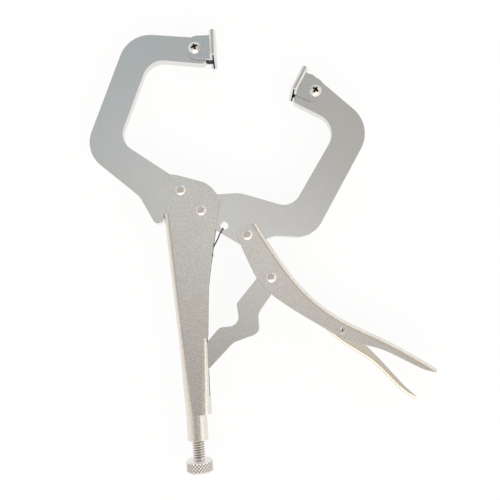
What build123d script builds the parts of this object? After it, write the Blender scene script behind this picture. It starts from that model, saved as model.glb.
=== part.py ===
from build123d import *
from math import cos, radians, sin
import os

os.makedirs("parts", exist_ok=True)

# Locking C-clamp pliers, millimetres. The tool lies flat on its side: its working
# plane is horizontal, the jaws point to +Y and the adjusting screw to -Y.
# Outlines are written from the jaw pivot, which sits at this place in the part.
PIVOT_X = -36.84
PIVOT_Y = 25.91
PIVOT_Z = 13.0

# Sheet and plate
PLATE = 6.4          # jaws and toggle link
WALL_IN = 3.5        # mid-plane to the inside of a handle wall
WALL_OUT = 5.5       # mid-plane to the outside of a handle wall

# Joints of the linkage, from the jaw pivot
LEVER_PIVOT = (27.5, -16.9)
LINK_PIVOT = (40.6, -43.9)
RELEASE_PIVOT = (82.0, -79.0)
JAW_RIVET = (-11.9, 13.2)
SPRING_HOLE = (13.8, -10.2)
SPRING_ANCHOR = (-11.0, -50.5)
RIVET_SHANK = 5.0
RIVET_HEAD = 6.8
RUNNING = 0.1        # added to a hole's diameter around a turning shank

# Adjusting screw
SCREW_X = -11.0
SCREW_DIA = 8.3
SCREW_TIP = -108.4
TUBE_DIA = 13.0
TUBE_TOP = -126.0
TUBE_END = -142.0
KNOB_DIA = 16.8
KNOB_TOP = -154.2
KNOB_END = -162.4

# Swivel pads, in their own frame: screw axis at the origin, clamping face at +X
PAD_HALF = 13.0
PAD_LENGTH = 15.0
PAD_FACE = 13.4
PAD_SHEET = 1.5
PAD_FLANGE = 9.5
EAR_IN = 3.4
EAR_ROUND = 7.3
PAD_1 = (2.2, 100.3)
PAD_1_ANGLE = -1.7
PAD_2 = (75.0, 69.2)
PAD_2_ANGLE = 149.2


def flat(x=0.0, y=0.0, angle=0.0, height=0.0):
    """Plane parallel to the working plane, set from the jaw pivot."""
    origin = (PIVOT_X + x, PIVOT_Y + y, PIVOT_Z + height)
    return Plane(origin=origin, x_dir=(cos(radians(angle)), sin(radians(angle)), 0), z_dir=(0, 0, 1))


def upright(x=0.0, y=0.0, angle=0.0):
    """Plane square to the working plane: local X along the angle, local Y up."""
    turn = radians(angle)
    origin = (PIVOT_X + x, PIVOT_Y + y, PIVOT_Z)
    return Plane(origin=origin, x_dir=(cos(turn), sin(turn), 0), z_dir=(sin(turn), -cos(turn), 0))


def rounded(sketch, corners):
    """Face through (x, y, radius) corners, each rounded by its own radius."""
    with BuildLine() as wire:
        Polyline(*[(x, y) for x, y, radius in corners], close=True)
    make_face(wire.edges())
    for x, y, radius in corners:
        if radius:
            fillet(sketch.vertices().sort_by_distance((x, y, 0))[0], radius)


def channel_section(y, left, right, half, fold, lip=0.0):
    """Cross-section of the fixed handle at a height, folded on its left side."""
    with BuildSketch(upright(0, y)) as section:
        with BuildLine():
            Polyline((left, -half), (right, -half), (right, half), (left, half), close=True)
        make_face()
        if fold:
            fillet(section.vertices().group_by(Axis.X)[0], fold)
        if lip:
            fillet(section.vertices().group_by(Axis.X)[-1], lip)
    return section.sketch


# Fixed handle: a U-shaped channel whose rear end is rolled into the screw tube
HEAD_OUTLINE = [
    (-24.6, -6.0, 0), (-22.4, -0.6, 0.8), (-22.6, 23.9, 1.5), (-14.0, 22.6, 25), (5.3, 16.2, 14),
    (12.4, 6.6, 4), (8.2, -12.0, 40), (1.3, -47.7, 120), (-0.9, -79.0, 0), (-0.9, -150.0, 0),
    (-24.6, -150.0, 0),
]

with BuildPart() as fixed_handle:
    add(channel_section(24.5, -24.5, 16.0, WALL_OUT, 0))
    add(channel_section(-1.0, -23.1, 16.0, WALL_OUT, 0))
    loft(ruled=True)
    add(channel_section(-1.0, -23.1, 16.0, WALL_OUT, 3.4))
    add(channel_section(-79.0, -18.9, 16.0, WALL_OUT, 3.6))
    loft(ruled=True)
    with BuildSketch(flat(0, 0, 0, -10)) as trim:
        rounded(trim, HEAD_OUTLINE)
    extrude(amount=20, mode=Mode.INTERSECT)
    add(channel_section(-79.0, -18.9, -1.2, WALL_OUT, 3.6, 2.6))
    add(channel_section(TUBE_TOP, -17.5, -1.3, TUBE_DIA / 2, 6.2, 6.2))
    loft(ruled=True)
    add(channel_section(24.6, -22.5, 24.0, WALL_IN, 1.4))
    add(channel_section(-79.0, -16.9, 24.0, WALL_IN, 1.6))
    loft(ruled=True, mode=Mode.SUBTRACT)
    add(channel_section(-79.0, -16.9, -3.2, WALL_IN, 1.6, 1.2))
    add(channel_section(-121.0, -15.6, -3.3, WALL_IN + 0.8, 3.6, 3.6))
    loft(ruled=True, mode=Mode.SUBTRACT)
    with BuildSketch(upright(SCREW_X, TUBE_TOP)):
        Circle(TUBE_DIA / 2)
    extrude(amount=TUBE_TOP - TUBE_END)
    with BuildSketch(upright(SCREW_X, -106.0)):
        Circle((SCREW_DIA + RUNNING) / 2)
    extrude(amount=40, mode=Mode.SUBTRACT)
    with BuildSketch(flat(0, 0, 0, -WALL_IN)):
        with Locations((4.0, -90.0)):
            Rectangle(20.0, 50.0)
        with Locations((-26.0, 14.0)):
            Rectangle(12.0, 30.0)
    extrude(amount=2 * WALL_IN, mode=Mode.SUBTRACT)
    with BuildSketch(flat(0, 0, 0, -10)):
        with Locations((0, 0), JAW_RIVET):
            Circle(RIVET_SHANK / 2)
    extrude(amount=20, mode=Mode.SUBTRACT)
    with BuildSketch(flat(0, 0, 0, -0.8)):
        with Locations((SPRING_ANCHOR[0] - 3.2, SPRING_ANCHOR[1])):
            Rectangle(9.6, 4.8)
        with Locations(SPRING_ANCHOR):
            Circle(1.3, mode=Mode.SUBTRACT)
    extrude(amount=1.6)
fixed_handle.part.label = "fixed_handle"
export_step(fixed_handle.part, "parts/fixed_handle.step")

# Fixed jaw: a flat arm held between the handle's walls, its tail hooked over the spine
with BuildPart() as fixed_jaw:
    with BuildSketch(flat(0, 0, 0, -PLATE / 2)) as outline:
        rounded(outline, [
            (9.3, 106.4, 3.0), (-38.0, 112.4, 20), (-70.2, 40.9, 18),
            (-37.5, 11.0, 12), (-25.9, -12.8, 3.4), (-22.7, -0.2, 0), (-13.0, -0.2, 2),
            (-4.0, 14.0, 2), (0.0, 17.0, 1), (-7.5, 20.0, 4), (-17.6, 23.5, 0),
            (-48.0, 46.2, 11), (-26.2, 95.3, 13), (9.0, 89.9, 3.0),
        ])
        with Locations(JAW_RIVET, PAD_1):
            Circle((RIVET_SHANK + RUNNING) / 2, mode=Mode.SUBTRACT)
    extrude(amount=PLATE)
fixed_jaw.part.label = "fixed_jaw"
export_step(fixed_jaw.part, "parts/fixed_jaw.step")

# Movable jaw: a flat arm turning on the jaw pivot, with a spring hole in its tail
with BuildPart() as movable_jaw:
    with BuildSketch(flat(0, 0, 0, -PLATE / 2)) as outline:
        rounded(outline, [
            (-6.0, 9.3, 0), (24.6, 9.5, 20), (56.3, -1.9, 11), (88.8, 47.3, 12.5),
            (60.6, 63.6, 2.5), (71.2, 82.8, 4.0), (109.8, 45.7, 20), (68.2, -21.3, 17),
            (45.5, -18.6, 4), (36.5, -20.4, 3), (28.5, -26.4, 6), (8.0, -12.3, 6), (-6.0, -9.0, 0),
        ])
        Circle(9.3)
        with Locations((-12.0, 0)):
            Rectangle(16, 30, mode=Mode.SUBTRACT)
        Circle(9.3)
        with Locations((0, 0), LEVER_PIVOT, PAD_2):
            Circle((RIVET_SHANK + RUNNING) / 2, mode=Mode.SUBTRACT)
        with Locations(SPRING_HOLE):
            Circle(2.5, mode=Mode.SUBTRACT)
    extrude(amount=PLATE)
movable_jaw.part.label = "movable_jaw"
export_step(movable_jaw.part, "parts/movable_jaw.step")

# Toggle link: a cranked flat bar from the lever to the foot above the screw tip
with BuildPart() as toggle_link:
    with BuildSketch(flat(0, 0, 0, -PLATE / 2)) as outline:
        rounded(outline, [
            (36.0, -39.3, 0), (18.2, -58.9, 2), (19.4, -72.4, 6), (6.8, -73.0, 5), (-14.2, -94.9, 3),
            (-14.0, -103.4, 3), (-7.0, -104.0, 3), (14.8, -83.2, 10), (31.6, -78.2, 5.5),
            (31.3, -66.0, 8), (46.4, -47.0, 0),
        ])
        with Locations(LINK_PIVOT):
            Circle(6.6)
            Circle((RIVET_SHANK + RUNNING) / 2, mode=Mode.SUBTRACT)
    extrude(amount=PLATE)
toggle_link.part.label = "toggle_link"
export_step(toggle_link.part, "parts/toggle_link.step")

# Lever handle: a curved channel, folded along its upper edge, ending in a shallow tail
SPINE = [
    (37.6, -17.0), (40.7, -22.4), (58.4, -49.8), (82.0, -71.7), (105.9, -85.2), (129.9, -100.1),
    (139.6, -106.8),
]
SPINE_IN = [
    (38.2, -22.2), (56.8, -51.0), (80.9, -73.4), (104.9, -86.9), (128.8, -101.8), (138.4, -108.4),
]
OPEN_SIDE = [(131.5, -106.9), (116.6, -98.2), (104.6, -92.2), (94.0, -88.8), (82.6, -84.9)]
OPEN_FRONT = [(75.5, -80.2), (56.8, -67.3), (45.0, -58.4), (34.6, -48.0), (25.4, -28.4), (21.4, -18.6)]

with BuildPart() as lever_handle:
    with BuildSketch(flat(0, 0, 0, -WALL_OUT)):
        with BuildLine():
            Spline(*SPINE)
            Polyline(SPINE[-1], (138.6, -109.0), OPEN_SIDE[0])
            Spline(*OPEN_SIDE)
            Line(OPEN_SIDE[-1], OPEN_FRONT[0])
            Spline(*OPEN_FRONT)
            RadiusArc(OPEN_FRONT[-1], (27.0, -9.6), 7.0)
            RadiusArc((27.0, -9.6), (35.9, -13.6), 9.0)
            Line((35.9, -13.6), SPINE[0])
        make_face()
    extrude(amount=2 * WALL_OUT)
    curved = [f for f in lever_handle.faces() if f.geom_type not in (GeomType.PLANE, GeomType.CYLINDER)]
    upper = max(curved, key=lambda f: f.area)
    fillet([e for e in upper.edges() if abs(e.tangent_at(0.5).Z) < 0.5], 3.4)
    with BuildSketch(flat(0, 0, 0, -WALL_IN)):
        with BuildLine():
            Spline(*SPINE_IN)
            Polyline(SPINE_IN[-1], (120.0, -125.0), (60.0, -110.0), (0, -60.0), (10.0, 0), (46.0, 0),
                     (44.5, -20.0), SPINE_IN[0])
        make_face()
    extrude(amount=2 * WALL_IN, mode=Mode.SUBTRACT)
    with BuildSketch(flat(0, 0, 0, -10)):
        with Locations(LEVER_PIVOT, LINK_PIVOT):
            Circle(RIVET_SHANK / 2)
        with Locations(RELEASE_PIVOT):
            Circle(1.9)
    extrude(amount=20, mode=Mode.SUBTRACT)
lever_handle.part.label = "lever_handle"
export_step(lever_handle.part, "parts/lever_handle.step")

# Release lever: a small channel inside the lever's tail, folded along its lower edge
RELEASE_HALF = 3.2
RELEASE_SHEET = 1.2
RELEASE_OUT = [
    (70.4, -75.6), (78.1, -83.8), (88.2, -91.7), (100.1, -100.5), (109.5, -110.5), (119.5, -121.1),
    (126.1, -125.3),
]
RELEASE_IN = [
    (71.2, -74.7), (78.9, -82.9), (89.0, -90.8), (100.9, -99.6), (110.4, -109.7), (120.2, -120.2),
    (128.5, -125.0),
]

with BuildPart() as release_lever:
    with BuildSketch(flat(0, 0, 0, -RELEASE_HALF)):
        with BuildLine():
            Spline(*RELEASE_OUT)
            Polyline(RELEASE_OUT[-1], (126.5, -123.9), (118.4, -115.6), (104.6, -98.6), (97.2, -90.2),
                     (91.0, -86.0), (86.0, -79.8), (80.0, -75.6), (72.6, -71.6), RELEASE_OUT[0])
        make_face()
    extrude(amount=2 * RELEASE_HALF)
    curved = [f for f in release_lever.faces() if f.geom_type not in (GeomType.PLANE, GeomType.CYLINDER)]
    lower = max(curved, key=lambda f: f.area)
    fillet([e for e in lower.edges() if abs(e.tangent_at(0.5).Z) < 0.5], 1.8)
    with BuildSketch(flat(0, 0, 0, RELEASE_SHEET - RELEASE_HALF)):
        with BuildLine():
            Spline(*RELEASE_IN)
            Polyline(RELEASE_IN[-1], (130.0, -100.0), (90.0, -60.0), (60.0, -60.0), RELEASE_IN[0])
        make_face()
    extrude(amount=2 * (RELEASE_HALF - RELEASE_SHEET), mode=Mode.SUBTRACT)
    with BuildSketch(flat(*RELEASE_PIVOT, 0, -10)):
        Circle(1.9 + RUNNING / 2)
    extrude(amount=20, mode=Mode.SUBTRACT)
release_lever.part.label = "release_lever"
export_step(release_lever.part, "parts/release_lever.step")


def rivet(name, x, y):
    """Solid rivet through both walls, a low domed head on each side."""
    with BuildPart() as body:
        with BuildSketch(flat(x, y, 0, -WALL_OUT)):
            Circle(RIVET_SHANK / 2)
        extrude(amount=2 * WALL_OUT)
        with BuildSketch(flat(x, y, 0, WALL_OUT)):
            Circle(RIVET_HEAD / 2)
        extrude(amount=1.1)
        with BuildSketch(flat(x, y, 0, -WALL_OUT - 1.1)):
            Circle(RIVET_HEAD / 2)
        extrude(amount=1.1)
        rims = body.edges().filter_by(GeomType.CIRCLE).sort_by(Axis.Z)
        fillet([rims[0], rims[-1]], 0.9)
    body.part.label = name
    export_step(body.part, "parts/" + name + ".step")


rivet("fixed_jaw_rivet", *JAW_RIVET)
rivet("jaw_pivot_rivet", 0.0, 0.0)
rivet("lever_rivet", *LEVER_PIVOT)
rivet("link_rivet", *LINK_PIVOT)

# Release rivet: a small tube flared at both ends
with BuildPart() as release_rivet:
    with BuildSketch(flat(*RELEASE_PIVOT, 0, -WALL_OUT)):
        Circle(1.9)
    extrude(amount=2 * WALL_OUT)
    for base in (WALL_OUT, -WALL_OUT - 0.5):
        with BuildSketch(flat(*RELEASE_PIVOT, 0, base)):
            Circle(2.8)
        extrude(amount=0.5)
    rims = release_rivet.edges().filter_by(GeomType.CIRCLE).sort_by(Axis.Z)
    fillet([rims[0], rims[-1]], 0.4)
    with BuildSketch(flat(*RELEASE_PIVOT, 0, -10)):
        Circle(1.0)
    extrude(amount=20, mode=Mode.SUBTRACT)
release_rivet.part.label = "release_rivet"
export_step(release_rivet.part, "parts/release_rivet.step")

# Adjusting screw: rod with a domed tip, running in the tube
with BuildPart() as adjusting_screw:
    with BuildSketch(upright(SCREW_X, SCREW_TIP)):
        Circle(SCREW_DIA / 2)
    extrude(amount=SCREW_TIP - KNOB_TOP)
    tip = adjusting_screw.edges().filter_by(GeomType.CIRCLE).sort_by(Axis.Y)[-1]
    chamfer(tip, 1.2)
adjusting_screw.part.label = "adjusting_screw"
export_step(adjusting_screw.part, "parts/adjusting_screw.step")

# Screw knob: a short grip with bevelled rims
with BuildPart() as screw_knob:
    with BuildSketch(upright(SCREW_X, KNOB_TOP)):
        Circle(KNOB_DIA / 2)
    extrude(amount=KNOB_TOP - KNOB_END)
    chamfer(screw_knob.edges().filter_by(GeomType.CIRCLE), 1.2)
screw_knob.part.label = "screw_knob"
export_step(screw_knob.part, "parts/screw_knob.step")


def swivel_pad(name, place, angle):
    """Folded pad: two ears, flanges folded under a flat clamping face."""
    ear_out = EAR_IN + PAD_SHEET
    fold = (PAD_FACE - PAD_FLANGE) / 2
    gap = fold - PAD_SHEET
    with BuildPart() as body:
        with BuildSketch(upright(*place, angle)):
            with BuildLine():
                Polyline((8.0, EAR_IN), (PAD_FLANGE + PAD_SHEET, EAR_IN),
                         (PAD_FLANGE + PAD_SHEET, PAD_HALF - fold))
                ThreePointArc((PAD_FLANGE + PAD_SHEET, PAD_HALF - fold),
                              (PAD_FLANGE + fold, PAD_HALF - fold + gap),
                              (PAD_FACE - PAD_SHEET, PAD_HALF - fold))
                Polyline((PAD_FACE - PAD_SHEET, PAD_HALF - fold), (PAD_FACE - PAD_SHEET, 0), (PAD_FACE, 0),
                         (PAD_FACE, PAD_HALF - fold))
                ThreePointArc((PAD_FACE, PAD_HALF - fold), (PAD_FLANGE + fold, PAD_HALF),
                              (PAD_FLANGE, PAD_HALF - fold))
                Polyline((PAD_FLANGE, PAD_HALF - fold), (PAD_FLANGE, ear_out), (8.0, ear_out), (8.0, EAR_IN))
            make_face()
            mirror(about=Plane.XZ)
        extrude(amount=PAD_LENGTH / 2, both=True)
        for base in (EAR_IN, -ear_out):
            with BuildSketch(flat(*place, angle, base)):
                with Locations((1.9, 0)):
                    Circle(EAR_ROUND)
                with Locations((5.3, 0)):
                    Rectangle(6.8, 2 * EAR_ROUND)
                Circle((RIVET_SHANK + RUNNING) / 2, mode=Mode.SUBTRACT)
            extrude(amount=PAD_SHEET)
    body.part.label = name
    export_step(body.part, "parts/" + name + ".step")


def pad_screw(name, place, angle):
    """Pan-head screw with a cross recess, through both ears."""
    seat = EAR_IN + PAD_SHEET
    with BuildPart() as body:
        with BuildSketch(flat(*place, angle, -seat - 3.8)):
            Circle(RIVET_SHANK / 2)
        extrude(amount=2 * seat + 3.8)
        with BuildSketch(flat(*place, angle, seat)):
            Circle(3.9)
        extrude(amount=2.3)
        fillet(body.edges().filter_by(GeomType.CIRCLE).sort_by(Axis.Z)[-1], 1.5)
        with BuildSketch(flat(*place, angle + 20, seat + 1.0)):
            Rectangle(4.4, 1.1)
            Rectangle(1.1, 4.4)
        extrude(amount=3, mode=Mode.SUBTRACT)
    body.part.label = name
    export_step(body.part, "parts/" + name + ".step")


def pad_nut(name, place, angle):
    """Hexagon nut under the far ear."""
    with BuildPart() as body:
        with BuildSketch(flat(*place, angle, -EAR_IN - PAD_SHEET - 3.2)):
            RegularPolygon(4.0, 6, major_radius=False)
            Circle(RIVET_SHANK / 2, mode=Mode.SUBTRACT)
        extrude(amount=3.2)
    body.part.label = name
    export_step(body.part, "parts/" + name + ".step")


swivel_pad("fixed_jaw_pad", PAD_1, PAD_1_ANGLE)
pad_screw("fixed_pad_screw", PAD_1, PAD_1_ANGLE)
pad_nut("fixed_pad_nut", PAD_1, PAD_1_ANGLE)
swivel_pad("movable_jaw_pad", PAD_2, PAD_2_ANGLE)
pad_screw("movable_pad_screw", PAD_2, PAD_2_ANGLE)
pad_nut("movable_pad_nut", PAD_2, PAD_2_ANGLE)

# Return spring: a short coil with a straight wire, hooked at both ends
WIRE = 0.8
COIL_RADIUS = 2.2
COIL_START = 6.0
COIL_LENGTH = 20.0
COIL_TURNS = 12
JOIN = (0.15, COIL_RADIUS - 0.1)   # where the straight wires leave the coil, just inside its ring
REACH = ((SPRING_HOLE[0] - SPRING_ANCHOR[0]) ** 2 + (SPRING_HOLE[1] - SPRING_ANCHOR[1]) ** 2) ** 0.5
AXIS = Plane(
    origin=flat(*SPRING_ANCHOR).origin,
    x_dir=(0, 0, 1),
    z_dir=(SPRING_HOLE[0] - SPRING_ANCHOR[0], SPRING_HOLE[1] - SPRING_ANCHOR[1], 0),
)


def wire_path(points):
    """Bent wire through points of the spring's frame."""
    with BuildLine() as path:
        FilletPolyline(*[AXIS.from_local_coords(point) for point in points], radius=0.7)
    return path.line


with BuildPart() as return_spring:
    with BuildLine() as coil:
        Helix(COIL_LENGTH / COIL_TURNS, COIL_LENGTH, COIL_RADIUS, AXIS.offset(COIL_START).origin, AXIS.z_dir)
    with BuildSketch(Plane(origin=coil.line @ 0, z_dir=coil.line % 0)):
        Circle(WIRE / 2)
    sweep(path=coil.line, is_frenet=True)
    end = COIL_START + COIL_LENGTH
    lower = wire_path([
        (*JOIN, COIL_START + 0.3), (*JOIN, 3.4), (1.9, 0, 1.7), (1.9, 0, 0), (-1.9, 0, 0), (-1.9, 0, 2.6),
    ])
    with BuildSketch(Plane(origin=lower @ 0, z_dir=lower % 0)):
        Circle(WIRE / 2)
    sweep(path=lower)
    upper = wire_path([
        (*JOIN, end - 0.3), (*JOIN, end + 1.5), (0, 0, end + 5), (0, 0, REACH - 9.5),
        (3.9, 0, REACH - 6.2), (3.9, 0, REACH - 1.85), (-3.9, 0, REACH - 1.85), (-3.9, 0, REACH - 4.6),
    ])
    with BuildSketch(Plane(origin=upper @ 0, z_dir=upper % 0)):
        Circle(WIRE / 2)
    sweep(path=upper)
return_spring.part.label = "return_spring"
export_step(return_spring.part, "parts/return_spring.step")
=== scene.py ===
import math
import bmesh
import bpy
from mathutils import Matrix, Vector


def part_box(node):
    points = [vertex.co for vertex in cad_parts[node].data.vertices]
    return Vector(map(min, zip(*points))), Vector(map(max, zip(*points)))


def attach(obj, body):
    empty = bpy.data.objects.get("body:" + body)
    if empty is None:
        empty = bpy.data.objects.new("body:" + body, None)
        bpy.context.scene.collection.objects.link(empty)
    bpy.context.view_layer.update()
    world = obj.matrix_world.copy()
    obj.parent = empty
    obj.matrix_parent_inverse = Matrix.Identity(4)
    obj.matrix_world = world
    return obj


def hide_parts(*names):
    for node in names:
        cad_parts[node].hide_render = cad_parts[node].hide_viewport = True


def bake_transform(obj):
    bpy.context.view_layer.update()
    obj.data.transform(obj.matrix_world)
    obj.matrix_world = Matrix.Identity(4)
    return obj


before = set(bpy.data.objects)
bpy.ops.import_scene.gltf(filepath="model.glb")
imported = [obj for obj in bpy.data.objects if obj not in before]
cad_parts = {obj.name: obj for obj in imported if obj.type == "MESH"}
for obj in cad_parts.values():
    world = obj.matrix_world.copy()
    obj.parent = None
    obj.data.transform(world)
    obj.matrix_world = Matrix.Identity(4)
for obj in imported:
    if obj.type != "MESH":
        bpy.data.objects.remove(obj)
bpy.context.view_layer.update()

# ---------------------------------------------------------------------------
# Fixed handle: one pressing of 2 mm plated sheet, folded into a channel and
# rolled into the screw tube. Its sheared edges are broken with a fine bevel.
# ---------------------------------------------------------------------------
MM = 0.001
HANDLE_EDGE = 0.8 * MM


class Value:
    """A shader output that can be added, scaled and mixed like a number."""

    def __init__(self, shade, socket):
        self.shade, self.socket = shade, socket

    def out(self, key):
        """Another output of the same node."""
        return Value(self.shade, self.socket.node.outputs[key])

    def maths(self, operation, *others):
        return self.shade.node("ShaderNodeMath", {"operation": operation}, dict(enumerate(others)))

    def ramp(self, low, high, to_low=0.0, to_high=1.0):
        """This value carried smoothly from low..high to a new range, held at the ends."""
        settings = {"clamp": True, "interpolation_type": "SMOOTHSTEP"}
        sockets = {0: self, 1: low, 2: high, 3: to_low, 4: to_high}
        return self.shade.node("ShaderNodeMapRange", settings, sockets)

    def __add__(self, other):
        return self.maths("ADD", self, other)

    def __sub__(self, other):
        return self.maths("SUBTRACT", self, other)

    def __rsub__(self, other):
        return self.maths("SUBTRACT", other, self)

    def __mul__(self, other):
        return self.maths("MULTIPLY", self, other)

    def __truediv__(self, other):
        return self.maths("DIVIDE", self, other)

    def __pow__(self, other):
        return self.maths("POWER", self, other)

    __radd__ = __add__
    __rmul__ = __mul__


class Shade:
    """A material's or world's node tree, with one method that makes any node."""

    def __init__(self, name, store=None):
        self.material = (bpy.data.materials if store is None else store).new(name)
        self.material.use_nodes = True
        self.tree = self.material.node_tree
        self.tree.nodes.clear()

    def node(self, kind, settings=(), inputs=(), output=0):
        made = self.tree.nodes.new(kind)
        for key, value in dict(settings).items():
            setattr(made, key, value)
        for key, value in dict(inputs).items():
            if isinstance(value, Value):
                self.tree.links.new(value.socket, made.inputs[key])
            else:
                made.inputs[key].default_value = value
        return Value(self, made.outputs[output]) if len(made.outputs) else made

    def noise(self, place, scale, detail, rough):
        """Noise from 0 to 1 with features about 1/scale metres wide."""
        sockets = {"Vector": place, "Scale": scale, "Detail": detail, "Roughness": rough}
        return self.node("ShaderNodeTexNoise", (), sockets)

    def blend(self, amount, first, second):
        """The first colour turning into the second."""
        ends = [(*c, 1.0) if not isinstance(c, Value) else c for c in (first, second)]
        settings = {"data_type": "RGBA", "clamp_factor": True}
        return self.node("ShaderNodeMix", settings, {0: amount, 6: ends[0], 7: ends[1]}, output=2)


def plated(name, colour, rough, grain, depth, fleck, cloud, warm, swell):
    """Plated steel with grain, flecks, clouded gloss, warm stains, pits and painted shade in its
    grooves.

    The grain is the grains' width and depth their height, both in metres. Fleck, cloud and
    swell are the strengths of the flecks, of the clouds and of slow waves in the sheet.
    """
    shade = Shade(name)
    place = shade.node("ShaderNodeTexCoord", output=3)
    clouds = shade.noise(place, 38.0, 3.0, 0.55)
    stains = shade.noise(place, 150.0, 4.0, 0.65)
    grit = shade.noise(place, 1.0 / grain, 2.5, 0.65)
    speck = shade.noise(place, 0.6 / grain, 3.0, 0.7)
    waves = shade.noise(place, 330.0, 1.0, 0.4)
    cells = shade.node("ShaderNodeTexVoronoi", (), {"Vector": place, "Scale": 0.3 / grain})
    pits = cells.ramp(0.0, 0.14, 1.0, 0.0)
    groove = shade.node("ShaderNodeAttribute", {"attribute_name": "groove"}, output=2)
    tone = (stains * 0.6 + clouds * 0.4).ramp(0.38, 0.64)
    flecks = (grit * 0.55 + speck * 0.45).ramp(0.34, 0.66)
    tinted = shade.blend(tone * 0.6, colour, [c * w for c, w in zip(colour, warm)])
    flecked = shade.blend(flecks, tinted, [min(c * (1 + fleck), 1.0) for c in colour])
    dark = [c * w * 0.55 for c, w in zip(colour, warm)]
    worn = shade.blend((1 - flecks) * fleck * 1.6 + pits * 0.3, flecked, dark)
    # Painted shade: where the groove attribute is high, the colour goes almost to black, at groove
    # bottoms and in the screw's driver recess.
    dirty = shade.blend(groove, worn, (0.035, 0.03, 0.026))
    gloss = rough + (clouds - 0.5) * cloud * 2.0 + (speck - 0.5) * fleck + pits * 0.15 + groove * 0.25
    height = grit * 0.45 + speck * 0.55 + waves * swell - pits * 0.5
    bump = shade.node("ShaderNodeBump", (), {"Strength": 1.0, "Distance": depth, "Height": height})
    surface = shade.node(
        "ShaderNodeBsdfPrincipled", (),
        {"Base Color": dirty, "Metallic": 1.0, "Roughness": gloss, "Normal": bump},
    )
    shade.node("ShaderNodeOutputMaterial", (), {"Surface": surface})
    return shade.material


def finish_piece(piece, body, material, replaces=()):
    """Gives a piece its material, puts it on its body and hides the nodes it stands for."""
    piece.data.materials.clear()
    piece.data.materials.append(material)
    if body:
        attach(piece, body)
    if replaces:
        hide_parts(*replaces)
    return piece


def new_piece(name, mesh):
    piece = bpy.data.objects.new(name, mesh)
    bpy.context.scene.collection.objects.link(piece)
    return piece


def applied(piece):
    """Turns the piece's modifiers into plain mesh."""
    graph = bpy.context.evaluated_depsgraph_get()
    mesh = bpy.data.meshes.new_from_object(piece.evaluated_get(graph), depsgraph=graph)
    piece.modifiers.clear()
    old = piece.data
    piece.data = mesh
    bpy.data.meshes.remove(old)
    return piece


def broken_edges(node, name, bevel, limit=38.0):
    """The node's shape with flats made whole and its hard edges rounded."""
    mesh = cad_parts[node].data.copy()
    work = bmesh.new()
    work.from_mesh(mesh)
    bmesh.ops.remove_doubles(work, verts=work.verts, dist=2e-6)
    flat = math.radians(0.4)
    bmesh.ops.dissolve_limit(work, angle_limit=flat, verts=work.verts, edges=work.edges)
    sharp = math.radians(limit)
    hard = [e for e in work.edges if len(e.link_faces) == 2 and e.calc_face_angle(0) > sharp]
    bmesh.ops.bevel(
        work, geom=hard, offset=bevel, offset_type="OFFSET", segments=3, profile=0.5,
        affect="EDGES", clamp_overlap=True,
    )
    bmesh.ops.recalc_face_normals(work, faces=work.faces)
    for face in work.faces:
        face.smooth = True
    work.to_mesh(mesh)
    work.free()
    if "sharp_edge" in mesh.attributes:
        mesh.attributes.remove(mesh.attributes["sharp_edge"])
    piece = new_piece(name, mesh)
    even = piece.modifiers.new("even", "WEIGHTED_NORMAL")
    even.mode = "FACE_AREA"
    even.weight = 60
    return applied(piece)


channel_steel = plated(
    "channel_steel", (0.77, 0.75, 0.71), rough=0.22, grain=0.6 * MM, depth=0.09 * MM,
    fleck=0.16, cloud=0.04, warm=(1.0, 0.95, 0.89), swell=0.25,
)
handle = broken_edges("fixed_handle", "fixed_handle_pressing", HANDLE_EDGE)
finish_piece(handle, "fixed_handle", channel_steel, ["fixed_handle"])

# ---------------------------------------------------------------------------
# Fixed jaw: 6.4 mm plated plate, stamped, with rolled-over edges. It is smoother
# than the handles, with a fine grain and faint clouds in the plating.
# ---------------------------------------------------------------------------
JAW_EDGE = 0.55 * MM
plate_steel = plated(
    "plate_steel", (0.75, 0.745, 0.725), rough=0.22, grain=0.7 * MM, depth=0.02 * MM,
    fleck=0.04, cloud=0.03, warm=(1.0, 0.97, 0.93), swell=0.8,
)
fixed_jaw = broken_edges("fixed_jaw", "fixed_jaw_plate", JAW_EDGE)
finish_piece(fixed_jaw, "fixed_handle", plate_steel, ["fixed_jaw"])

# ---------------------------------------------------------------------------
# Movable jaw: the same plate, turning on the jaw pivot between the handle's
# walls, with a punched spring hole in its tail.
# ---------------------------------------------------------------------------
movable_jaw = broken_edges("movable_jaw", "movable_jaw_plate", JAW_EDGE)
finish_piece(movable_jaw, "movable_jaw", plate_steel, ["movable_jaw"])

# ---------------------------------------------------------------------------
# Lever handle: a second pressing of 2 mm sheet, folded along its upper edge,
# its tail running out to a shallow lip.
# ---------------------------------------------------------------------------
lever = broken_edges("lever_handle", "lever_handle_pressing", HANDLE_EDGE)
finish_piece(lever, "lever", channel_steel, ["lever_handle"])

# ---------------------------------------------------------------------------
# Toggle link: a cranked bar of the jaws' plate, a little coarser than they are.
# It runs from the lever to a foot above the screw tip.
# ---------------------------------------------------------------------------
LINK_EDGE = 0.5 * MM
link_steel = plated(
    "link_steel", (0.75, 0.735, 0.705), rough=0.23, grain=0.6 * MM, depth=0.05 * MM,
    fleck=0.09, cloud=0.04, warm=(1.0, 0.96, 0.91), swell=0.4,
)
link = broken_edges("toggle_link", "toggle_link_bar", LINK_EDGE)
finish_piece(link, "toggle_link", link_steel, ["toggle_link"])

# ---------------------------------------------------------------------------
# Release lever: a narrow channel of thin sheet inside the lever's tail, with a
# warmer plating than the handles have.
# ---------------------------------------------------------------------------
RELEASE_EDGE = 0.3 * MM
release_steel = plated(
    "release_steel", (0.86, 0.79, 0.69), rough=0.21, grain=0.6 * MM, depth=0.06 * MM,
    fleck=0.1, cloud=0.04, warm=(1.0, 0.95, 0.89), swell=0.3,
)
release = broken_edges("release_lever", "release_lever_pressing", RELEASE_EDGE)
finish_piece(release, "release_lever", release_steel, ["release_lever"])

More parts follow.
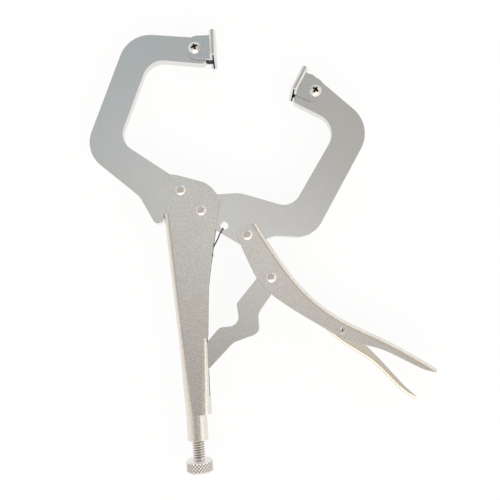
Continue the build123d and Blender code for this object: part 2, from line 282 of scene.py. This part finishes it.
# ---------------------------------------------------------------------------
# Rivets: pressed steel with low domed heads, set by Geometry Nodes on both
# sides of each pivot. The release rivet is a small tube flared at its ends.
# ---------------------------------------------------------------------------
HEAD_SEAT = 5.5      # from the middle of a pivot to the seat of its head, millimetres
HEAD_RADIUS = 3.3
SHANK_RADIUS = 2.5
TUBE_RADIUS = 1.9
TUBE_FLARE = 2.6
rivet_steel = plated(
    "rivet_steel", (0.76, 0.73, 0.71), rough=0.16, grain=0.6 * MM, depth=0.04 * MM,
    fleck=0.06, cloud=0.04, warm=(1.0, 0.93, 0.88), swell=0.8,
)


def turned(name, profile, steps=48):
    """A closed solid of revolution about Z through (radius, height) points in millimetres."""
    work = bmesh.new()
    rings = []
    for radius, height in profile:
        if radius < 1e-6:
            rings.append([work.verts.new((0, 0, height * MM))])
        else:
            wide = radius * MM
            turn = [2 * math.pi * k / steps for k in range(steps)]
            places = [(wide * math.cos(a), wide * math.sin(a), height * MM) for a in turn]
            rings.append([work.verts.new(place) for place in places])
    for low, high in zip(rings, rings[1:]):
        for k in range(steps):
            n = (k + 1) % steps
            corners = (low[k % len(low)], low[n % len(low)], high[n % len(high)], high[k % len(high)])
            unique = list(dict.fromkeys(corners))
            if len(unique) > 2:
                work.faces.new(unique)
    bmesh.ops.recalc_face_normals(work, faces=work.faces)
    for face in work.faces:
        face.smooth = True
    mesh = bpy.data.meshes.new(name)
    work.to_mesh(mesh)
    work.free()
    return mesh


def arc(cx, cy, radius, start, end, steps):
    """Points on an arc, angles in degrees."""
    turn = [math.radians(start + (end - start) * k / steps) for k in range(steps + 1)]
    return [(cx + radius * math.cos(a), cy + radius * math.sin(a)) for a in turn]


def nodes_group(name, sockets):
    """A Geometry Nodes tree with named inputs, its two end nodes and its inputs' identifiers."""
    tree = bpy.data.node_groups.new(name, "GeometryNodeTree")
    tree.interface.new_socket("Geometry", in_out="OUTPUT", socket_type="NodeSocketGeometry")
    keys = {}
    for label, kind in sockets:
        socket = tree.interface.new_socket(label, in_out="INPUT", socket_type=kind)
        keys[label] = socket.identifier
    return tree, tree.nodes.new("NodeGroupInput"), tree.nodes.new("NodeGroupOutput"), keys


def placed_copies(name, source, points, material):
    """Copies of the source mesh on (place, turn) points, the turn in radians about X, Y and Z."""
    tree, inputs, outputs, keys = nodes_group(name + "_nodes", [
        ("Geometry", "NodeSocketGeometry"),
        ("Source", "NodeSocketObject"),
        ("Material", "NodeSocketMaterial"),
    ])
    info = tree.nodes.new("GeometryNodeObjectInfo")
    spread = tree.nodes.new("GeometryNodeInstanceOnPoints")
    turn = tree.nodes.new("GeometryNodeInputNamedAttribute")
    turn.data_type = "FLOAT_VECTOR"
    turn.inputs["Name"].default_value = "turn"
    real = tree.nodes.new("GeometryNodeRealizeInstances")
    paint = tree.nodes.new("GeometryNodeSetMaterial")
    for a, b in (
        (inputs.outputs["Geometry"], spread.inputs["Points"]),
        (inputs.outputs["Source"], info.inputs["Object"]),
        (info.outputs["Geometry"], spread.inputs["Instance"]),
        (turn.outputs[0], spread.inputs["Rotation"]),
        (spread.outputs[0], real.inputs[0]),
        (real.outputs[0], paint.inputs["Geometry"]),
        (inputs.outputs["Material"], paint.inputs["Material"]),
        (paint.outputs[0], outputs.inputs[0]),
    ):
        tree.links.new(a, b)
    mould = new_piece(name + "_mould", source)
    mesh = bpy.data.meshes.new(name)
    mesh.from_pydata([place for place, turn in points], [], [])
    turns = mesh.attributes.new("turn", "FLOAT_VECTOR", "POINT")
    turns.data.foreach_set("vector", [angle for place, turn in points for angle in turn])
    piece = new_piece(name, mesh)
    spray = piece.modifiers.new("copies", "NODES")
    spray.node_group = tree
    spray[keys["Source"]] = mould
    spray[keys["Material"]] = material
    applied(piece)
    bpy.data.objects.remove(mould)
    return piece


def centre(node):
    """The middle of a node's box."""
    low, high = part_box(node)
    return (low + high) / 2


head_profile = [(0, 0.86), (0.5, 0.88), (0.9, 1.0)] + arc(0, -4.3, 5.4, 76, 54, 7)
head_profile += [(HEAD_RADIUS + 0.02, 0.02), (HEAD_RADIUS, -0.02), (SHANK_RADIUS, -0.3)]
head_profile += [(SHANK_RADIUS, -HEAD_SEAT), (0, -HEAD_SEAT)]
for body, nodes in (
    ("fixed_handle", ["fixed_jaw_rivet", "jaw_pivot_rivet"]),
    ("lever", ["lever_rivet", "link_rivet"]),
):
    points = []
    for number, node in enumerate(nodes):
        middle = centre(node)
        seat = Vector((0, 0, HEAD_SEAT * MM))
        points.append((middle + seat, (0.0, 0.0, 0.7 * number)))
        points.append((middle - seat, (math.pi, 0.0, 0.4 + number)))
    head = turned(body + "_head", head_profile)
    rivets = placed_copies(body + "_rivets", head, points, rivet_steel)
    finish_piece(rivets, body, rivet_steel, nodes)

tube_profile = [(0.95, -6.0), (1.15, -6.0)] + arc(2.3, -5.72, 0.32, -90, 0, 3)
tube_profile += [(TUBE_FLARE, -5.52), (TUBE_RADIUS, -HEAD_SEAT)]
tube_profile += [(TUBE_RADIUS, HEAD_SEAT), (TUBE_FLARE, 5.52)]
tube_profile += arc(2.3, 5.72, 0.32, 0, 90, 3) + [(1.15, 5.95), (0.95, 5.8), (0.95, -6.0)]
tube_wall = turned("release_tube_wall", tube_profile)
tube_point = [(centre("release_rivet"), (0, 0, 0))]
release_rivet = placed_copies("release_tube", tube_wall, tube_point, rivet_steel)
finish_piece(release_rivet, "lever", rivet_steel, ["release_rivet"])

# ---------------------------------------------------------------------------
# Adjusting screw: a plated rod with a rolled thread, cut by Geometry Nodes
# from a fine sleeve, and a chamfered tip that the link's foot meets.
# ---------------------------------------------------------------------------
THREAD_PITCH = 1.55 * MM
THREAD_DEPTH = 0.8 * MM
TIP_CHAMFER = 1.2    # millimetres
thread_steel = plated(
    "thread_steel", (0.80, 0.775, 0.75), rough=0.13, grain=0.5 * MM, depth=0.02 * MM,
    fleck=0.05, cloud=0.04, warm=(1.0, 0.94, 0.88), swell=0.3,
)


def math_node(tree, operation, *values):
    """A Geometry Nodes maths node fed with sockets or numbers."""
    made = tree.nodes.new("ShaderNodeMath")
    made.operation = operation
    for number, value in enumerate(values):
        if isinstance(value, (int, float)):
            made.inputs[number].default_value = value
        else:
            tree.links.new(value, made.inputs[number])
    return made.outputs[0]


def relief_tree(name, shape):
    """A tree that sinks a sleeve's skin by a wave of its angle and height.

    The wave runs between Low and High and fades in over Fade. Only the skin beyond 0.8 of
    Radius sinks. Dirt is how dark the painted shade at the bottoms of the grooves is.
    """
    sizes = ("Pitch", "Depth", "Starts", "Low", "High", "Fade", "Radius", "Dirt")
    sockets = [("Geometry", "NodeSocketGeometry"), ("Material", "NodeSocketMaterial")]
    sockets += [(size, "NodeSocketFloat") for size in sizes]
    tree, inputs, outputs, keys = nodes_group(name, sockets)
    pitch, depth, starts, low, high, fade, radius, dirt = (inputs.outputs[size] for size in sizes)
    place = tree.nodes.new("GeometryNodeInputPosition")
    split = tree.nodes.new("ShaderNodeSeparateXYZ")
    tree.links.new(place.outputs[0], split.inputs[0])
    x, y, z = split.outputs
    angle = math_node(tree, "DIVIDE", math_node(tree, "ARCTAN2", y, x), 2 * math.pi)
    around = math_node(tree, "MULTIPLY", angle, starts)
    along = math_node(tree, "DIVIDE", z, pitch)
    wave = shape(tree, around, along)
    rise = math_node(tree, "DIVIDE", math_node(tree, "SUBTRACT", z, low), fade)
    fall = math_node(tree, "DIVIDE", math_node(tree, "SUBTRACT", high, z), fade)
    inside = math_node(tree, "MINIMUM", math_node(tree, "MINIMUM", rise, fall), 1.0)
    squares = [math_node(tree, "MULTIPLY", side, side) for side in (x, y)]
    reach = math_node(tree, "SQRT", math_node(tree, "ADD", *squares))
    outer = math_node(tree, "GREATER_THAN", reach, math_node(tree, "MULTIPLY", radius, 0.8))
    keep = math_node(tree, "MULTIPLY", math_node(tree, "MAXIMUM", inside, 0.0), outer)
    sink = math_node(tree, "MULTIPLY", math_node(tree, "MULTIPLY", wave, depth), keep)
    scale = math_node(tree, "DIVIDE", sink, math_node(tree, "MAXIMUM", reach, 1e-5))
    join = tree.nodes.new("ShaderNodeCombineXYZ")
    for number, side in enumerate((x, y)):
        inward = math_node(tree, "MULTIPLY", side, math_node(tree, "MULTIPLY", scale, -1.0))
        tree.links.new(inward, join.inputs[number])
    move = tree.nodes.new("GeometryNodeSetPosition")
    # Painted shade: the stored groove attribute makes the colour darker at the bottoms of the
    # grooves.
    store = tree.nodes.new("GeometryNodeStoreNamedAttribute")
    store.data_type, store.domain = "FLOAT", "POINT"
    store.inputs["Name"].default_value = "groove"
    bottoms = math_node(tree, "POWER", math_node(tree, "MAXIMUM", wave, 0.0), 4.0)
    painted_groove_shade = math_node(tree, "MULTIPLY", math_node(tree, "MULTIPLY", bottoms, keep), dirt)
    tree.links.new(painted_groove_shade, store.inputs["Value"])
    real = tree.nodes.new("GeometryNodeRealizeInstances")
    paint = tree.nodes.new("GeometryNodeSetMaterial")
    for a, b in (
        (inputs.outputs["Geometry"], store.inputs["Geometry"]),
        (store.outputs[0], move.inputs["Geometry"]),
        (join.outputs[0], move.inputs["Offset"]),
        (move.outputs[0], real.inputs[0]),
        (real.outputs[0], paint.inputs["Geometry"]),
        (inputs.outputs["Material"], paint.inputs["Material"]),
        (paint.outputs[0], outputs.inputs[0]),
    ):
        tree.links.new(a, b)
    return tree, keys


def relief(piece, tree, keys, material, **sizes):
    """Runs the tree on the piece with its sizes, then makes it plain mesh."""
    cut = piece.modifiers.new("relief", "NODES")
    cut.node_group = tree
    cut[keys["Material"]] = material
    for label, value in sizes.items():
        cut[keys[label.capitalize()]] = float(value)
    return applied(piece)


def thread_wave(tree, around, along):
    """One groove winding up the rod, with sloping sides and a narrow flat bottom."""
    turn = math_node(tree, "SUBTRACT", along, around)
    slope = math_node(tree, "MULTIPLY", math_node(tree, "PINGPONG", turn, 0.5), 2.4)
    return math_node(tree, "SMOOTH_MIN", slope, 1.0, 0.15)


def stand_along_y(piece, x, z):
    """Lays a piece that was made about Z along Y, on the screw's line."""
    lay = Matrix.Rotation(math.radians(-90), 4, "X")
    piece.data.transform(Matrix.Translation((x, 0, z)) @ lay)
    return piece


low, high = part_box("adjusting_screw")
screw_x, screw_z = (low.x + high.x) / 2, (low.z + high.z) / 2
rod_low, rod_high = low.y / MM, high.y / MM
rod_radius = (high.x - low.x) / 2 / MM
sleeve = rod_high - rod_low - TIP_CHAMFER - 0.05
rings = int((rod_high - rod_low - TIP_CHAMFER) / 0.16)
side = [(rod_radius, rod_low + 0.05 + sleeve * k / rings) for k in range(rings + 1)]
rod_profile = [(0, rod_low), (rod_radius - 0.2, rod_low)] + side
rod_profile += [(rod_radius - TIP_CHAMFER, rod_high), (0, rod_high)]
rod = new_piece("threaded_rod", turned("threaded_rod", rod_profile, 64))
thread_tree, thread_keys = relief_tree("thread", thread_wave)
# The last size sets how dark the painted shade in the thread's grooves is.
relief(
    rod, thread_tree, thread_keys, thread_steel, pitch=THREAD_PITCH, depth=THREAD_DEPTH, starts=1,
    low=rod_low * MM, high=rod_high * MM, fade=TIP_CHAMFER * MM, radius=rod_radius * MM, dirt=0.7,
)
stand_along_y(rod, screw_x, screw_z)
finish_piece(rod, "adjusting_screw", thread_steel, ["adjusting_screw"])

# ---------------------------------------------------------------------------
# Screw knob: a turned steel grip with a diamond knurl, cut by Geometry Nodes,
# a bevelled collar towards the tube and a plain dished end.
# ---------------------------------------------------------------------------
KNURL_PITCH = 2.2 * MM
KNURL_DEPTH = 0.5 * MM
KNURL_STARTS = 22
KNURL_FADE = 0.5 * MM


def knurl_wave(tree, around, along):
    """Two sets of V grooves that cross and leave diamonds between them."""
    grooves = []
    for operation in ("ADD", "SUBTRACT"):
        turn = math_node(tree, operation, around, along)
        grooves.append(math_node(tree, "MULTIPLY", math_node(tree, "PINGPONG", turn, 0.5), 2.0))
    return math_node(tree, "MAXIMUM", *grooves)


low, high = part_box("screw_knob")
knob_low, knob_high = low.y / MM, high.y / MM
knob_radius = (high.x - low.x) / 2 / MM
grip_low, grip_high = knob_low + 1.3, knob_high - 1.0
grip = [(knob_radius, grip_low + (grip_high - grip_low) * k / 44) for k in range(45)]
knob_profile = [(0, knob_low + 0.5), (4.6, knob_low + 0.5), (5.4, knob_low)]
knob_profile += [(knob_radius - 1.3, knob_low + 0.2)] + grip + [(knob_radius - 0.7, grip_high + 0.6)]
knob_profile += [(5.6, knob_high - 0.1), (5.3, knob_high), (0, knob_high)]
knob = new_piece("knurled_knob", turned("knurled_knob", knob_profile, 240))
knurl_tree, knurl_keys = relief_tree("knurl", knurl_wave)
# The last size sets how dark the painted shade in the knurl's grooves is.
relief(
    knob, knurl_tree, knurl_keys, thread_steel, pitch=KNURL_PITCH, depth=KNURL_DEPTH,
    starts=KNURL_STARTS, low=grip_low * MM, high=grip_high * MM, fade=KNURL_FADE,
    radius=knob_radius * MM, dirt=1.0,
)
stand_along_y(knob, screw_x, screw_z)
finish_piece(knob, "screw_knob", thread_steel, ["screw_knob"])

# ---------------------------------------------------------------------------
# Return spring: dark drawn wire, wound in the handle and hooked through the
# jaw's tail.
# ---------------------------------------------------------------------------
wire_steel = plated(
    "wire_steel", (0.09, 0.088, 0.085), rough=0.36, grain=0.4 * MM, depth=0.02 * MM,
    fleck=0.1, cloud=0.05, warm=(1.0, 0.9, 0.8), swell=0.2,
)
low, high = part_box("return_spring")
middle = (low.z + high.z) / 2
spring = broken_edges("return_spring", "return_spring_wire", 0.01 * MM, limit=70.0)
finish_piece(spring, None, wire_steel, ["return_spring"])
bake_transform(spring)

# ---------------------------------------------------------------------------
# Swivel pads: one folding of 1.5 mm sheet each, with a pan-head screw through
# both ears and a hexagon nut on the far side.
# ---------------------------------------------------------------------------
PAD_EDGE = 0.22 * MM
NUT_EDGE = 0.3 * MM
SCREW_HEAD = 2.3     # height of the pan head, millimetres
SCREW_RADIUS = 2.5
SCREW_LENGTH = 13.5
RECESS_REACH = 3.0
pad_steel = plated(
    "pad_steel", (0.73, 0.735, 0.73), rough=0.20, grain=0.7 * MM, depth=0.04 * MM,
    fleck=0.06, cloud=0.04, warm=(1.0, 0.97, 0.94), swell=0.8,
)
screw_steel = plated(
    "screw_steel", (0.78, 0.77, 0.75), rough=0.14, grain=0.4 * MM, depth=0.02 * MM,
    fleck=0.05, cloud=0.04, warm=(1.0, 0.93, 0.84), swell=0.5,
)
screw_profile = [(0, SCREW_HEAD), (1.0, 2.25)] + arc(0, -1.95, 4.25, 72, 36, 8)
screw_profile += [(3.75, 0.25), (3.7, 0.0), (SCREW_RADIUS, 0.0), (SCREW_RADIUS, 0.3 - SCREW_LENGTH)]
screw_profile += [(SCREW_RADIUS - 0.3, -SCREW_LENGTH), (0, -SCREW_LENGTH)]


def cross_cutter(name):
    """A tapered cross, wide at the top, as a driver recess."""
    work = bmesh.new()
    for turn in (0, 90):
        spin = Matrix.Rotation(math.radians(turn), 4, "Z")
        corners = []
        for height, half_long, half_wide in ((0.5, 1.2, 0.4), (2.9, 2.9, 0.72)):
            for sx, sy in ((-1, -1), (1, -1), (1, 1), (-1, 1)):
                corner = spin @ Vector((sx * half_long, sy * half_wide, height))
                corners.append(work.verts.new(corner * MM))
        faces = [(0, 3, 2, 1), (4, 5, 6, 7)]
        faces += [(k, (k + 1) % 4, (k + 1) % 4 + 4, k + 4) for k in range(4)]
        for face in faces:
            work.faces.new([corners[k] for k in face])
    mesh = bpy.data.meshes.new(name)
    work.to_mesh(mesh)
    work.free()
    return mesh


for side_name, turn in (("fixed", 18.0), ("movable", 52.0)):
    body = side_name + "_pad"
    pad = broken_edges(side_name + "_jaw_pad", side_name + "_pad_folding", PAD_EDGE)
    finish_piece(pad, body, pad_steel, [side_name + "_jaw_pad"])
    low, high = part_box(side_name + "_pad_screw")
    screw = new_piece(side_name + "_pan_screw", turned(side_name + "_pan_screw", screw_profile, 64))
    cutter = new_piece("cutter", cross_cutter("cutter"))
    cut = screw.modifiers.new("cut", "BOOLEAN")
    cut.object = cutter
    cut.operation = "DIFFERENCE"
    cut.use_self = True
    applied(screw)
    bpy.data.objects.remove(cutter)
    # Painted shade in the driver recess: the groove attribute darkens it more the deeper it lies.
    recess_shade = []
    for vertex in screw.data.vertices:
        x, y, z = vertex.co / MM
        radius = math.hypot(x, y)
        below = (SCREW_HEAD - 0.1 - 0.09 * radius ** 2 - z) * 0.9
        recess_shade.append(min(1.0, max(0.0, below)) if z > 0.4 and radius < RECESS_REACH else 0.0)
    screw.data.attributes.new("groove", "FLOAT", "POINT").data.foreach_set("value", recess_shade)
    seat = Vector(((low.x + high.x) / 2, (low.y + high.y) / 2, high.z - SCREW_HEAD * MM))
    spin = Matrix.Rotation(math.radians(turn), 4, "Z")
    screw.data.transform(Matrix.Translation(seat) @ spin)
    screw.data.set_sharp_from_angle(angle=math.radians(35))
    finish_piece(screw, body, screw_steel, [side_name + "_pad_screw"])
    nut = broken_edges(side_name + "_pad_nut", side_name + "_hex_nut", NUT_EDGE)
    finish_piece(nut, body, screw_steel, [side_name + "_pad_nut"])

# ---------------------------------------------------------------------------
# Stage: pale floor, a studio sky that is grey overhead for the flat faces to
# mirror and bright low down for the rounds, and the camera looking straight down.
# ---------------------------------------------------------------------------
floor_shade = Shade("floor_white")
floor_mix = floor_shade.node("ShaderNodeMixShader", (), {
    0: 0.82,
    1: floor_shade.node("ShaderNodeBsdfDiffuse", (), {"Color": (0.93, 0.93, 0.93, 1)}),
    2: floor_shade.node("ShaderNodeEmission", (), {"Color": (1, 1, 1, 1), "Strength": 1.05}),
})
floor_shade.node("ShaderNodeOutputMaterial", (), {"Surface": floor_mix})
work = bmesh.new()
bmesh.ops.create_grid(work, x_segments=1, y_segments=1, size=3.0)
mesh = bpy.data.meshes.new("floor")
work.to_mesh(mesh)
work.free()
floor = new_piece("floor", mesh)
mesh.materials.append(floor_shade.material)

# The studio around the tool, on a disc whose centre is straight up and whose rim is the horizon.
sky = Shade("studio", bpy.data.worlds)
scene = bpy.context.scene
scene.world = sky.material
scene.view_settings.view_transform = "Standard"
split = sky.node("ShaderNodeSeparateXYZ", (), {0: sky.node("ShaderNodeTexCoord", output=0)})
across = split / (split.out(2) + 1.001)
along = split.out(1) / (split.out(2) + 1.001)
away = (across * across + along * along) ** 0.5


def patch(x, y, wide, tall, lean=0.0):
    """A soft spot on the disc, sheared along its height by the lean."""
    spread = ((across - x) / wide) ** 2 + ((along - y + (across - x) * lean) / tall) ** 2
    return sky.node("ShaderNodeMath", {"operation": "EXPONENT"}, {0: spread * -1.0})


# Bright low down, brown between the bright ring and the grey overhead, then the soft spots.
rim = sky.blend(across.ramp(-0.35, 0.35), (0.88, 0.82, 0.775), (1.24, 1.19, 1.13))
rim = sky.blend(away.ramp(0.7, 0.9), rim, (1.04, 0.99, 0.94))
light = sky.blend(away.ramp(0.27, 0.48), (0.46, 0.40, 0.35), rim)
light = sky.blend(patch(0.34, 0.26, 0.17, 0.17) * 0.85, light, (0.66, 0.55, 0.45))
light = sky.blend(away.ramp(0.17, 0.28, 1.0, 0.0), light, (0.55, 0.535, 0.515))
light = sky.blend(patch(-0.11, 0.20, 0.13, 0.13), light, (0.46, 0.525, 0.57))
light = sky.blend(patch(0.01, 0.048, 0.11, 0.056, 0.64), light, (0.94, 0.94, 0.935))
light = sky.blend(patch(0.0, 0.58, 0.34, 0.22) * 0.95, light, (0.50, 0.64, 0.74))
light = sky.blend(patch(0.0, -0.52, 0.34, 0.2), light, (2.3, 2.25, 2.2))
light = sky.blend(patch(-0.037, -0.13, 0.055, 0.06) * 0.95, light, (0.08, 0.065, 0.055))
glow = sky.node("ShaderNodeBackground", (), {"Color": light, "Strength": 1.0})
sky.node("ShaderNodeOutputWorld", (), {"Surface": glow})

camera_data = bpy.data.cameras.new("camera")
camera_data.sensor_width = 36.0
camera_data.lens = 45.0
camera_data.shift_x = 0.008
camera_data.shift_y = 0.1
camera = bpy.data.objects.new("camera", camera_data)
scene.collection.objects.link(camera)
camera.location = (-0.0126, -0.0311, 0.403)
camera.rotation_euler = (0.0, 0.0, math.radians(-3.6))
scene.camera = camera
